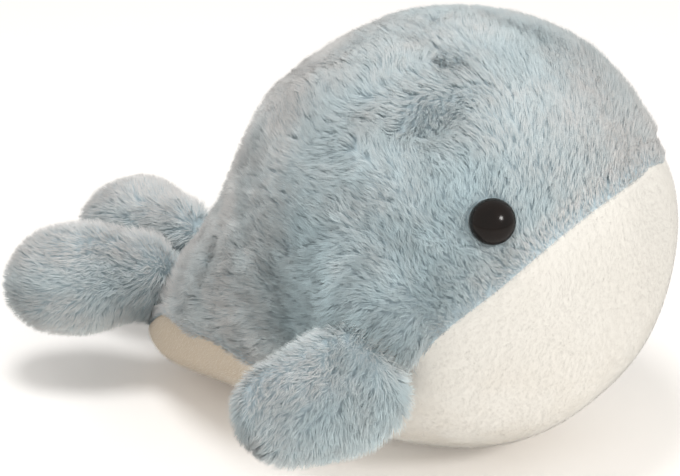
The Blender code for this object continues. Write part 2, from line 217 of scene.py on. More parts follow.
# Where the pile changes: how much, and the limits between which the change grows. They are places along
# the body, how far the cloth faces up, radii of a limb's root with a minus, or turns from a limb's root.
changes = {
    "combTurns": (1, -50 * mm, 30 * mm),  # from up the forehead to back towards the tail
    "combSwirls": (0.42, -60 * mm, 10 * mm),
    "combFins": (1, -1.9, -1.2),
    "tousledBack": (1, -60 * mm, 0),
    "tousledSide": (1, -0.9, -0.3),
    # painted light: the pile that faces up is made paler, as the light from above would make it
    "paleTopPaintedLight": (0.5, 0.1, 0.9),
    "paleTail": (0.6, 20 * mm, 80 * mm),
    "paleNose": (0.7, 35 * mm, 85 * mm),
    # painted light: the nose is made brighter, as the key lamp from the right lights it; it fades out where
    # the pile faces up
    "paintedLightNose": (2.0, 20 * mm, 75 * mm),
    "paintedLightNoseTop": (0.85, 0.1, 0.8),
    # painted light: the pile that faces down is made brighter, lifting the shade below
    "paintedLightUnder": (0.7, 0.1, 0.5),
    # painted shade: the tousled rear flank is made darker, except where it faces down, as it turns from the
    # light
    "paintedShadeFlank": (1.1, -0.35, 0.05),
    # painted shade: the pile that faces up is made a little darker, offsetting the top lamp
    "paintedShadeTop": (0.25, 0.2, 0.8),
    # painted shade: the cream pile turns tan towards the tail, where the tail's shade falls on the underside
    "paintedShadeUnderTail": (1, 25 * mm, 100 * mm),
    "paintedLightHollow": (2.2, -2.8, -1.4),  # painted light behind and above a fin, lifting the shade in the hollow there
    "paintedLightHollowBack": (1, -10 * mm, 25 * mm),
    "longFins": (1, -1.7, -1.2),
    "longFold": (0.35, -1.35, -1.05),  # over the crease above a fin
    "longAboveSeam": (1, 0, 20 * mm),
    "limbRoot": (1, -radians(125), -radians(80)),
    # painted light: on a limb too, the pile that faces up is made paler
    "paleLimbTopPaintedLight": (0.6, 0.2, 0.9),
    "paleFinTip": (0.35, radians(110), radians(150)),
    # painted shade: a fluke's tip is made darker, as it turns away from the light
    "paintedShadeFlukeTip": (2.9, radians(105), radians(150)),
}

bodyPile = {
    "seamGap": 0.2 * mm,
    "rootLimit": 0.97,  # the strands end here, in radii of a limb's root
    "messy": (0.08, 0.87),  # everywhere, and added where the pile is tousled
    "loose": (0.6, 0.4),
    "seamLoose": (1.6, 2 * mm),  # how much, and how far from the seam
    "seamDark": (0.7, 5 * mm),
    "seamPale": (0.35, 6 * mm),
    "pale": -0.18,
    "tousledLean": -0.22,
    "tousledLong": -0.05,
    "seamLong": 0.38,
    "finLong": 1.1,
    "seeds": {"blue": 31, "cream": 37, "strands": 101},
}

limbPile = {
    "long": (0.82, 0.28),  # everywhere, and added near the root
    "loose": 0.7,
    "lean": 0.88,
    "messy": 0.4,
    "finBright": 0.8,
    # painted light: the flukes are made brighter and paler, standing in for the key lamp's light that the
    # body blocks
    "flukePaintedLight": 2.1,
    "flukePaintedLightPale": 0.4,
    "rootShade": 0.6,  # how far the shading near the root follows the limb's face
    "seeds": {"roots": 51, "strands": 151},
}

# Which way the pile lies, and how that wanders: over what distance, with which seed and how much
combs = {
    "forehead": (-0.5, 0.0, 0.86),
    "back": (-0.93, 0.0, 0.36),
    "belly": (-0.6, 0.0, -0.8),
    "limbDroop": (0.0, 0.0, -0.35),
}

wanders = {
    "body": (80 * mm, 11, 0.34),
    "swirl": (24 * mm, 19, 1.0),
    "belly": (70 * mm, 17, 0.25),
    "limb": (45 * mm, 23, 0.5),
}

# The borders between the pieces of the body's pile
borders = {"crown": 125 * mm, "crownFall": 0.6, "forehead": 5 * mm, "tail": -55 * mm, "face": 20 * mm}

eyeClearing = {
    "reach": 30 * mm,
    "overlap": 0.5 * mm,  # how far the pile grows in under the rim
    "upright": 0.2,
    "uprightWidth": 4 * mm,
    "short": 0.94,
    "shortWidth": 9 * mm,
    "combed": 0.6,  # how much of the lie points away from the eye
    "combedWidth": 15 * mm,
}


def unit(v):
    return v / np.maximum(np.linalg.norm(v, axis=-1, keepdims=True), 1e-12)


def curveThrough(places, values, x):
    places, values = np.array(places, float), np.array(values, float)
    slopes = np.gradient(values, places)
    slopes[0] = 0.0
    i = np.clip(np.searchsorted(places, x) - 1, 0, len(places) - 2)
    step = places[i + 1] - places[i]
    u = np.clip((x - places[i]) / step, 0, 1)
    first = values[i] * (1 + 2 * u) * (1 - u) ** 2 + slopes[i] * step * u * (1 - u) ** 2
    return first + values[i + 1] * u * u * (3 - 2 * u) + slopes[i + 1] * step * u * u * (u - 1)


def ramp(x, low, high):
    share = np.clip((x - low) / (high - low), 0, 1)
    return share * share * (3 - 2 * share)


def wander(points, size, seed, waves=6):  # a smooth random vector at each point
    random = np.random.default_rng(seed)
    out = np.zeros_like(points)
    for axis in range(3):
        for _ in range(waves):
            heading = unit(random.normal(size=3))
            pitch = 2 * pi / (size * random.uniform(0.7, 1.5))
            out[:, axis] += np.sin(points @ heading * pitch + random.uniform(0, 2 * pi))
    return out / np.sqrt(waves / 2)


def bodySurface(turn, around):
    place = np.clip((turn - pi / 2) / (pi / 2), 0, 1)
    rear = turn > pi / 2
    front = body["radius"] * np.sin(turn)
    shape = {
        part: np.where(rear, body["radius"] * curveThrough(body["places"], body[part], place), front)
        for part in ("top", "bottom", "side")
    }
    droop = np.where(rear, body["radius"] * curveThrough(body["places"], body["droop"], place), 0.0)
    along = np.where(rear, -body["tailReach"] * np.sin(place * pi / 2), body["radius"] * np.cos(turn))
    down = np.cos(around)
    rise = -np.where(down > 0, shape["bottom"], shape["top"]) * down - droop
    x = along * cos(body["tilt"]) - rise * sin(body["tilt"])
    z = along * sin(body["tilt"]) + rise * cos(body["tilt"]) + body["middleUp"]
    return np.stack([x, -shape["side"] * np.sin(around), z], axis=-1)


def limbSurface(limb, side):
    def surface(turn, around):
        place = np.clip((turn - pi / 2) / (pi / 2), 0, 1)
        tip = turn > pi / 2
        swell = {part: curveThrough(limbPlaces, limb[part], place) for part in ("width", "thickness")}
        x = np.where(tip, limb["reach"] * np.sin(place * pi / 2), -limb["halfThickness"] * np.cos(turn))
        wide = limb["halfWidth"] * np.where(tip, swell["width"], np.sin(turn))
        thick = limb["halfThickness"] * np.where(tip, swell["thickness"], np.sin(turn))
        bend = np.where(tip, np.sin(place * pi / 2) ** 2, 0.0)
        across = wide * np.cos(around) - limb["sweep"] * bend
        out = thick * np.sin(around) + limb["arch"] * bend
        return np.stack([x, side * across, out], axis=-1)

    return surface


def limbFrame(limb, side):  # x along the limb, z out of its face
    flip = np.array([1, side, 1])
    x = Vector(flip * limb["points"]).normalized()
    y = Vector(flip * limb["faces"]).cross(x).normalized()
    turned = Matrix((x, y, x.cross(y))).transposed().to_4x4()
    return Matrix.Translation(Vector(flip * limb["hinge"])) @ turned


def seamSide(turn, around):  # how far above the seam a point of the body lies, in metres
    turnDeg, roundDeg = np.degrees(turn), np.degrees(np.abs(around))
    lift = -np.sin(turn) * np.cos(around)
    onNose = (lift - curveThrough(seam["noseTurns"], seam["noseLifts"], turnDeg)) * body["radius"]
    farSide = ramp(-np.sin(turn) * np.sin(around), *seam["dipSides"]) * (1 - ramp(turnDeg, *seam["dipTurns"]))
    onNose = onNose + seam["leftDip"] * farSide
    place = np.clip((turn - pi / 2) / (pi / 2), 0, 1)
    wide = np.where(turn > pi / 2, curveThrough(body["places"], body["side"], place), np.sin(turn))
    beyond = np.radians(roundDeg - curveThrough(seam["turns"], seam["rounds"], turnDeg))
    onFlank = beyond * wide * body["radius"]
    share = np.clip((turnDeg - seam["noseEnds"]) / seam["noseFade"], 0, 1)
    return onNose * (1 - share) + onFlank * share


def meshPoints(thing):
    co = np.empty(len(thing.data.vertices) * 3, np.float32)
    thing.data.vertices.foreach_get("co", co)
    return co.reshape(-1, 3).astype(float)


def meshNormals(thing):
    normals = np.empty(len(thing.data.vertices) * 3, np.float32)
    thing.data.vertex_normals.foreach_get("vector", normals)
    return normals.reshape(-1, 3).astype(float)


def movePoints(thing, co):
    thing.data.vertices.foreach_set("co", np.ascontiguousarray(co, dtype=np.float32).ravel())
    thing.data.update()


def pointValues(thing, name, values):
    layer = thing.data.attributes.get(name) or thing.data.attributes.new(name, "FLOAT", "POINT")
    layer.data.foreach_set("value", np.ascontiguousarray(values, dtype=np.float32))


def readValues(thing, name):
    values = np.empty(len(thing.data.vertices), np.float32)
    thing.data.attributes[name].data.foreach_get("value", values)
    return values.astype(float)


def stuffedForm(name, surface, segments, rings, depth):
    bpy.ops.object.select_all(action="DESELECT")
    bpy.ops.mesh.primitive_uv_sphere_add(segments=segments, ring_count=rings, radius=1)
    form = bpy.context.object
    form.name = form.data.name = name
    ball = meshPoints(form)
    turn = np.arccos(np.clip(ball[:, 2], -1, 1))
    around = np.arctan2(ball[:, 1], ball[:, 0])
    movePoints(form, surface(np.clip(turn, 0.004, pi - 0.004), around))
    pointValues(form, "turn", turn)
    bpy.ops.object.mode_set(mode="EDIT")
    bpy.ops.mesh.select_all(action="SELECT")
    bpy.ops.mesh.normals_make_consistent(inside=False)
    bpy.ops.object.mode_set(mode="OBJECT")
    bpy.ops.object.shade_smooth()
    movePoints(form, meshPoints(form) - meshNormals(form) * depth)
    return form, turn, around


def fadeNear(distance, width):
    return np.exp(-(distance / width) ** 2)


def eyeSeat(side):
    turn, around = np.array([eye["turn"]]), np.array([-side * eye["round"]])
    nudge = 0.001
    at = bodySurface(turn, around)[0]
    down = bodySurface(turn + nudge, around)[0] - bodySurface(turn - nudge, around)[0]
    across = bodySurface(turn, around + nudge)[0] - bodySurface(turn, around - nudge)[0]
    return Vector(at), Vector(unit(np.cross(across, down)))


limbs = {
    "fin_right": (fin, 1),
    "fin_left": (fin, -1),
    "fluke_right": (fluke, 1),
    "fluke_left": (fluke, -1),
}
fins = (limbs["fin_right"], limbs["fin_left"])


def inRoot(limb, side, points, room):  # under 1 inside a limb's round root
    local = points @ np.array(limbFrame(limb, side).inverted().to_3x3()).T
    local = local + np.array(limbFrame(limb, side).inverted().translation)
    deep, wide = limb["halfThickness"] + room, limb["halfWidth"] + room
    return np.sqrt((local[:, 0] ** 2 + local[:, 2] ** 2) / deep ** 2 + local[:, 1] ** 2 / wide ** 2)


def makeBodySkin():
    skin, turn, around = stuffedForm("bodySkin", bodySurface, body["segments"], body["rings"], 0.0)
    co, normals = meshPoints(skin), meshNormals(skin)
    above = seamSide(turn, around)
    blueShare = np.clip(above / seam["blend"], 0, 1)[:, None]
    co = co - normals * (body["creamDepth"] + (body["blueDepth"] - body["creamDepth"]) * blueShare)
    dent = seam["foldDepth"] * fadeNear(above, seam["foldWidth"])
    for side in (-1, 1):
        at, _ = eyeSeat(side)
        dent = dent + eye["dimple"] * fadeNear(np.linalg.norm(co - np.array(at), axis=1), eye["dimpleWidth"])
    unevenness = wander(co, body["unevenSize"], 3)[:, :1] * body["uneven"]
    co = co - normals * dent[:, None] + normals * unevenness
    for limb, side in fins:
        within = inRoot(limb, side, co, 0.0)
        way = unit(co - np.array(limb["hinge"]) * (1, side, 1)) @ unit(np.array(rootSwell["faces"]))
        near = fadeNear(np.maximum(within - 1, 0), rootSwell["fade"])
        swell = rootSwell["rise"] * near * ramp(way, *rootSwell["facing"])
        co = co + normals * (swell * ramp(above, 0, rootSwell["seamFade"]))[:, None]
    for limb, side in limbs.values():
        within = inRoot(limb, side, co, limbSkin["seatRoom"] - limbSkin["depth"])
        root = np.array(limbFrame(limb, side).translation)
        push = np.where(within < 1, 1 / np.maximum(within, 0.3), 1.0)
        co = root + (co - root) * push[:, None]
    co[:, 2] = np.maximum(co[:, 2], body["offFloor"])
    movePoints(skin, co)
    pointValues(skin, "above", above)
    return skin


def makeLimbSkin(name, limb, side):
    skin, turn, around = stuffedForm(
        name + "Skin", limbSurface(limb, side), limbSkin["segments"], limbSkin["rings"], limbSkin["depth"])
    skin.data.transform(limbFrame(limb, side))
    co = meshPoints(skin)
    unevenness = wander(co, limbSkin["unevenSize"], 7)[:, :1] * limbSkin["uneven"]
    movePoints(skin, co + meshNormals(skin) * unevenness)
    return skin


def scatter(skin, perArea, seed, fields):
    skin.data.calc_loop_triangles()
    corners = np.empty(len(skin.data.loop_triangles) * 3, np.int32)
    skin.data.loop_triangles.foreach_get("vertices", corners)
    corners = corners.reshape(-1, 3)
    co, normals = meshPoints(skin), meshNormals(skin)
    a, b, c = co[corners[:, 0]], co[corners[:, 1]], co[corners[:, 2]]
    areas = np.linalg.norm(np.cross(b - a, c - a), axis=1) / 2
    random = np.random.default_rng(seed)
    total = int(areas.sum() * perArea)
    marks = (np.arange(total) + random.uniform(size=total)) / total * areas.sum()
    chosen = np.minimum(np.searchsorted(np.cumsum(areas), marks), len(areas) - 1)
    u, v = random.uniform(size=total), random.uniform(size=total)
    over = u + v > 1
    u, v = np.where(over, 1 - u, u), np.where(over, 1 - v, v)
    weights = np.stack([1 - u - v, u, v], axis=1)
    spread = {"at": co, "normal": normals, **{name: readValues(skin, name)[:, None] for name in fields}}
    picked = {k: np.einsum("ij,ijk->ik", weights, values[corners[chosen]]) for k, values in spread.items()}
    picked["normal"] = unit(picked["normal"])
    return picked


strands = {
    "widest": 0.42,  # shares of a strand's height
    "middle": 0.34,
    "lengths": (0.45, 1.5),  # shares of the pile's length and width
    "widths": (0.75, 1.2),
    "lengthSizes": (34 * mm, 11 * mm),  # over what distances the length and the tone wander
    "toneSizes": (8 * mm, 19 * mm),
    "tone": (0.16, 0.42),  # from strand to strand, and added where the pile is messy
    "toneLimit": 3,
    "bendPull": 0.4,  # the tuft pulls the bend by this share of its pull on the tip
}


def makeStrand():  # one strand: three-sided, pointed at both ends, 1 high; copied for the whole pile
    bpy.ops.object.select_all(action="DESELECT")
    bpy.ops.mesh.primitive_cone_add(vertices=3, radius1=1, radius2=0, depth=1, end_fill_type="TRIFAN")
    strand = bpy.context.object
    co = meshPoints(strand)
    belly = np.abs(co[:, 2] + 0.5) < 1e-6
    centre = belly & (np.hypot(co[:, 0], co[:, 1]) < 1e-6)
    co[:, 2] += 0.5
    co[belly, 2] = strands["widest"]
    co[centre, 2] = 0.0
    faces = np.array([list(f.vertices) for f in strand.data.polygons])
    bpy.data.objects.remove(strand)
    return co, faces


strandPoints, strandFaces = makeStrand()


# Each root says where it is and how its cloth faces, and how long, leaning, loose and messy its strand
# is, how bright and pale its colour is, painted light and shade included, and, on a limb, which way its
# shading faces.
def growPile(name, pile, roots, comb, seed):
    random = np.random.default_rng(seed)
    at, normal = roots["at"], roots["normal"]
    count = len(at)
    leaders = random.permutation(count)[: max(count // pile["tuft"], 1)]
    tree = kdtree.KDTree(len(leaders))
    for i, leader in enumerate(leaders):
        tree.insert(at[leader], i)
    tree.balance()
    mine = leaders[np.array([tree.find(point)[1] for point in at])]

    flow = comb(at, normal)
    tuftTurn = random.normal(size=(count, 3)) * pile["tuftStray"] * np.minimum(roots["loose"], 1)
    lie = flow[mine] + tuftTurn[mine]
    lie = unit(lie - normal * np.sum(lie * normal, axis=1, keepdims=True))
    stray = random.normal(size=(count, 3)) * pile["stray"] * roots["loose"]
    rootWay = unit(normal * cos(pile["rootLean"]) + lie * sin(pile["rootLean"]) * roots["lean"] + stray * 0.5)
    tipWay = unit(normal * cos(pile["tipLean"]) + lie * sin(pile["tipLean"]) * roots["lean"] + stray)
    broad, narrow = strands["lengthSizes"]
    unevenness = (wander(at, broad, seed + 1)[:, 0] + wander(at, narrow, seed + 2)[:, 0]) * 0.5
    unevenness = unevenness + random.normal(size=count) * 0.5
    spread = np.clip(1 + pile["uneven"] * unevenness, *strands["lengths"])
    length = (pile["length"] * roots["long"][:, 0] * spread)[:, None]
    root = at - normal * pile["buried"]
    bend = at + rootWay * length * 0.5
    tip = bend + tipWay * length * 0.5
    tip = tip + (tip[mine] - tip) * pile["tuftPull"]
    bend = bend + (bend[mine] - bend) * pile["tuftPull"] * strands["bendPull"]

    way = unit(tip - root)
    sideways = unit(np.cross(way, unit(random.normal(size=(count, 3)))))
    other = np.cross(way, sideways)
    width = pile["width"] * random.uniform(*strands["widths"], size=(count, 1))
    co = np.empty((count, len(strandPoints), 3))
    for i, (x, y, t) in enumerate(strandPoints):
        spine = root * (1 - t) ** 2 + bend * 2 * t * (1 - t) + tip * t * t
        co[:, i] = spine + (sideways * x + other * y) * width
    co[..., 2] = np.maximum(co[..., 2], 0.0)

    mesh = bpy.data.meshes.new(name)
    each, sides = len(strandPoints), len(strandFaces)
    faces = (strandFaces[None] + (np.arange(count) * each)[:, None, None]).reshape(-1, 3)
    mesh.vertices.add(count * each)
    mesh.vertices.foreach_set("co", co.astype(np.float32).ravel())
    mesh.loops.add(len(faces) * 3)
    mesh.loops.foreach_set("vertex_index", faces.astype(np.int32).ravel())
    mesh.polygons.add(len(faces))
    mesh.polygons.foreach_set("loop_start", (np.arange(len(faces)) * 3).astype(np.int32))
    mesh.update(calc_edges=True)
    thing = bpy.data.objects.new(name, mesh)
    bpy.context.scene.collection.objects.link(thing)
    mesh.shade_smooth()
    soft = np.repeat(roots.get("shade", normal)[:, None], each, axis=1) * pile["softness"]
    along = way[:, None] * (strandPoints[:, 2] - strands["middle"])[None, :, None] * length[:, None]
    own = unit(co - (co.mean(axis=1, keepdims=True) + along))
    soft = unit(soft + own * (1 - pile["softness"])).reshape(-1, 3)
    mesh.normals_split_custom_set_from_vertices(soft.astype(np.float32))
    messy, (least, more), (narrow, broad) = roots["messy"][:, 0], strands["tone"], strands["toneSizes"]
    tone = (random.normal(size=count) + random.normal(size=count)[mine]) * (least + more * messy)
    tone = tone + (wander(at, narrow, seed + 3) + wander(at, broad, seed + 4))[:, 0] * messy
    # bright adds painted light and shade to the strand's random tone
    tone = np.clip(tone + roots["bright"][:, 0], -strands["toneLimit"], strands["toneLimit"])
    pointValues(thing, "rise", np.tile(strandPoints[:, 2], count))
    pointValues(thing, "tone", np.repeat(tone / 2, each))
    pointValues(thing, "pale", np.repeat(roots["pale"][:, 0], each))
    print(name, count, "strands", count * sides, "triangles")
    return thing


# Materials

def attribute(nodes, name):
    node = nodes.new("ShaderNodeAttribute")
    node.attribute_name = name
    return node


def colourMix(nodes):
    node = nodes.new("ShaderNodeMix")
    node.data_type = "RGBA"
    return node


def setRange(node, kind, limits):  # kind is From or To
    node.inputs[kind + " Min"].default_value, node.inputs[kind + " Max"].default_value = limits


def pileGroup():  # colour of a strand from root to tip, uneven from tuft to tuft and in broad patches, and paler and brighter where the roots ask, which carries painted light and shade
    group = bpy.data.node_groups.new("pileColour", "ShaderNodeTree")
    face = group.interface
    for name, kind in (("Root", "NodeSocketColor"), ("Tip", "NodeSocketColor"), ("Patch", "NodeSocketColor"),
                       ("Patch Amount", "NodeSocketFloat"), ("Patch Scale", "NodeSocketFloat"),
                       ("Tone", "NodeSocketFloat")):
        face.new_socket(name, in_out="INPUT", socket_type=kind)
    face.new_socket("Colour", in_out="OUTPUT", socket_type="NodeSocketColor")
    face.new_socket("Roughness", in_out="OUTPUT", socket_type="NodeSocketFloat")
    nodes, link = group.nodes, group.links.new
    given, out = nodes.new("NodeGroupInput"), nodes.new("NodeGroupOutput")
    rise = attribute(nodes, "rise")
    tone = attribute(nodes, "tone")
    pale = attribute(nodes, "pale")
    place = nodes.new("ShaderNodeTexCoord")
    patches = nodes.new("ShaderNodeTexNoise")
    patches.inputs["Detail"].default_value = 4.0
    patches.inputs["Roughness"].default_value = 0.72
    link(place.outputs["Object"], patches.inputs["Vector"])
    link(given.outputs["Patch Scale"], patches.inputs["Scale"])
    spread = nodes.new("ShaderNodeMapRange")
    setRange(spread, "From", (0.40, 0.62))
    link(patches.outputs["Fac"], spread.inputs["Value"])
    amount = nodes.new("ShaderNodeMath")
    amount.operation = "MULTIPLY_ADD"
    amount.use_clamp = True
    link(spread.outputs["Result"], amount.inputs[0])
    link(given.outputs["Patch Amount"], amount.inputs[1])
    link(pale.outputs["Fac"], amount.inputs[2])
    tipColour = colourMix(nodes)
    link(amount.outputs[0], tipColour.inputs["Factor"])
    link(given.outputs["Tip"], tipColour.inputs["A"])
    link(given.outputs["Patch"], tipColour.inputs["B"])
    curve = nodes.new("ShaderNodeMapRange")
    curve.interpolation_type = "SMOOTHSTEP"
    setRange(curve, "From", (0.05, 0.85))
    link(rise.outputs["Fac"], curve.inputs["Value"])
    rootToTip = colourMix(nodes)
    link(curve.outputs["Result"], rootToTip.inputs["Factor"])
    link(given.outputs["Root"], rootToTip.inputs["A"])
    link(tipColour.outputs["Result"], rootToTip.inputs["B"])
    swing = nodes.new("ShaderNodeMath")
    swing.operation = "MULTIPLY_ADD"
    link(tone.outputs["Fac"], swing.inputs[0])
    link(given.outputs["Tone"], swing.inputs[1])
    swing.inputs[2].default_value = 1.0
    shade = nodes.new("ShaderNodeHueSaturation")
    link(rootToTip.outputs["Result"], shade.inputs["Color"])
    link(swing.outputs[0], shade.inputs["Value"])
    rough = nodes.new("ShaderNodeMapRange")
    setRange(rough, "To", (0.95, 0.72))
    link(rise.outputs["Fac"], rough.inputs["Value"])
    link(shade.outputs["Color"], out.inputs["Colour"])
    link(rough.outputs["Result"], out.inputs["Roughness"])
    return group


pileColour = pileGroup()


def pileMaterial(name, look):
    material = bpy.data.materials.new(name)
    material.use_nodes = True
    nodes, link = material.node_tree.nodes, material.node_tree.links.new
    shader = nodes["Principled BSDF"]
    colour = nodes.new("ShaderNodeGroup")
    colour.node_tree = pileColour
    for socket in ("Root", "Tip", "Patch"):
        colour.inputs[socket].default_value = (*look[socket], 1.0)
    for socket in ("Patch Amount", "Patch Scale", "Tone"):
        colour.inputs[socket].default_value = look[socket]
    link(colour.outputs["Colour"], shader.inputs["Base Color"])
    link(colour.outputs["Roughness"], shader.inputs["Roughness"])
    shader.inputs["Specular IOR Level"].default_value = 0.25
    shader.inputs["Sheen Weight"].default_value = look["sheen"]
    shader.inputs["Sheen Roughness"].default_value = 0.5
    return material


blueLook = {
    "Root": (0.51, 0.62, 0.66),
    "Tip": (0.58, 0.71, 0.74),
    # Patch: a greyer blue for random patches and the paler places, among them the painted light on the pile
    # facing up
    "Patch": (0.72, 0.71, 0.69),
    "Patch Amount": 0.5,
    "Patch Scale": 24.0,
    "Tone": 0.16,
    "sheen": 0.12,
}

creamLook = {
    "Root": (0.775, 0.752, 0.70),
    "Tip": (0.79, 0.768, 0.715),
    # Patch: the tan of the painted shade under the tail, also in faint random patches
    "Patch": (0.58, 0.50, 0.40),
    "Patch Amount": 0.03,
    "Patch Scale": 22.0,
    "Tone": 0.01,
    "sheen": 0.15,
}

blueMaterial = pileMaterial("bluePile", blueLook)
creamMaterial = pileMaterial("creamPile", creamLook)


backingLook = {
    "blue": ((0.49, 0.60, 0.65, 1), (0.57, 0.68, 0.72, 1)),
    "cream": ((0.755, 0.732, 0.68, 1), (0.78, 0.757, 0.70, 1)),
    # tan: the colour of the dirt stains and of the painted shade under the tail
    "tan": (0.52, 0.44, 0.34, 1),
    "blueAbove": 1.2 * mm,  # above the seam
    "knitScale": 900.0,
    # painted shade under the tail grows between these places along the body
    "tailShadeAlong": (-25 * mm, -100 * mm),
    "stainHeights": (80 * mm, 10 * mm),
    "stainShares": (0.04, 0.42),
    "stainScale": 38.0,
    "stainEdges": (0.42, 0.66),
    "bump": 0.06,
    "bumpDepth": 0.3 * mm,
}


def backingMaterial():  # the knitted cloth under the pile, blue above the seam, cream below with tan dirt stains low down and tan painted shade towards the tail
    material = bpy.data.materials.new("backingCloth")
    material.use_nodes = True
    nodes, link = material.node_tree.nodes, material.node_tree.links.new
    shader = nodes["Principled BSDF"]
    above = attribute(nodes, "above")
    side = nodes.new("ShaderNodeMath")
    side.operation = "GREATER_THAN"
    side.inputs[1].default_value = backingLook["blueAbove"]
    link(above.outputs["Fac"], side.inputs[0])
    place = nodes.new("ShaderNodeTexCoord")
    knit = nodes.new("ShaderNodeTexNoise")
    knit.inputs["Scale"].default_value = backingLook["knitScale"]
    link(place.outputs["Object"], knit.inputs["Vector"])
    blue = colourMix(nodes)
    cream = colourMix(nodes)
    for mix, name in ((blue, "blue"), (cream, "cream")):
        mix.inputs["A"].default_value, mix.inputs["B"].default_value = backingLook[name]
        link(knit.outputs["Fac"], mix.inputs["Factor"])
    along = nodes.new("ShaderNodeSeparateXYZ")
    link(place.outputs["Object"], along.inputs[0])
    # painted shade under the tail, tan growing towards the tail's end
    tailShade = nodes.new("ShaderNodeMapRange")
    tailShade.interpolation_type = "SMOOTHSTEP"
    setRange(tailShade, "From", backingLook["tailShadeAlong"])
    link(along.outputs["X"], tailShade.inputs["Value"])
    low = nodes.new("ShaderNodeMapRange")
    setRange(low, "From", backingLook["stainHeights"])
    setRange(low, "To", backingLook["stainShares"])
    link(along.outputs["Z"], low.inputs["Value"])
    clouds = nodes.new("ShaderNodeTexNoise")
    clouds.inputs["Scale"].default_value = backingLook["stainScale"]
    clouds.inputs["Detail"].default_value = 4.0
    link(place.outputs["Object"], clouds.inputs["Vector"])
    cloudy = nodes.new("ShaderNodeMapRange")
    setRange(cloudy, "From", backingLook["stainEdges"])
    link(clouds.outputs["Fac"], cloudy.inputs["Value"])
    # dirt stains low down, plus the painted shade under the tail
    stainsAndShade = nodes.new("ShaderNodeMath")
    stainsAndShade.operation = "MULTIPLY_ADD"
    stainsAndShade.use_clamp = True
    link(cloudy.outputs["Result"], stainsAndShade.inputs[0])
    link(low.outputs["Result"], stainsAndShade.inputs[1])
    link(tailShade.outputs["Result"], stainsAndShade.inputs[2])
    under = colourMix(nodes)
    under.inputs["B"].default_value = backingLook["tan"]
    link(stainsAndShade.outputs[0], under.inputs["Factor"])
    link(cream.outputs["Result"], under.inputs["A"])
    cloth = colourMix(nodes)
    link(side.outputs[0], cloth.inputs["Factor"])
    link(under.outputs["Result"], cloth.inputs["A"])
    link(blue.outputs["Result"], cloth.inputs["B"])
    link(cloth.outputs["Result"], shader.inputs["Base Color"])
    bump = nodes.new("ShaderNodeBump")
    bump.inputs["Strength"].default_value = backingLook["bump"]
    bump.inputs["Distance"].default_value = backingLook["bumpDepth"]
    link(knit.outputs["Fac"], bump.inputs["Height"])
    link(bump.outputs["Normal"], shader.inputs["Normal"])
    shader.inputs["Roughness"].default_value = 0.95
    return material


backing = backingMaterial()


def mouldedMaterial(name, dark, pale, roughLow, roughHigh, scale):
    material = bpy.data.materials.new(name)
    material.use_nodes = True
    nodes, link = material.node_tree.nodes, material.node_tree.links.new
    shader = nodes["Principled BSDF"]
    place = nodes.new("ShaderNodeTexCoord")
    cloud = nodes.new("ShaderNodeTexNoise")
    cloud.inputs["Scale"].default_value = scale
    link(place.outputs["Object"], cloud.inputs["Vector"])
    tint = nodes.new("ShaderNodeMix")
    tint.data_type = "RGBA"
    tint.inputs["A"].default_value = (*dark, 1)
    tint.inputs["B"].default_value = (*pale, 1)
    link(cloud.outputs["Fac"], tint.inputs["Factor"])
    link(tint.outputs["Result"], shader.inputs["Base Color"])
    rough = nodes.new("ShaderNodeMapRange")
    rough.inputs["To Min"].default_value = roughLow
    rough.inputs["To Max"].default_value = roughHigh
    link(cloud.outputs["Fac"], rough.inputs["Value"])
    link(rough.outputs["Result"], shader.inputs["Roughness"])
    return material


eyeMaterial = mouldedMaterial("blackEye", (0.002, 0.0015, 0.001), (0.010, 0.005, 0.003), 0.12, 0.18, 160.0)
eyeMaterial.node_tree.nodes["Principled BSDF"].inputs["Specular IOR Level"].default_value = 0.20
washerMaterial = mouldedMaterial("whiteWasher", (0.70, 0.70, 0.68), (0.78, 0.78, 0.76), 0.45, 0.6, 300.0)


# Floor, light and camera

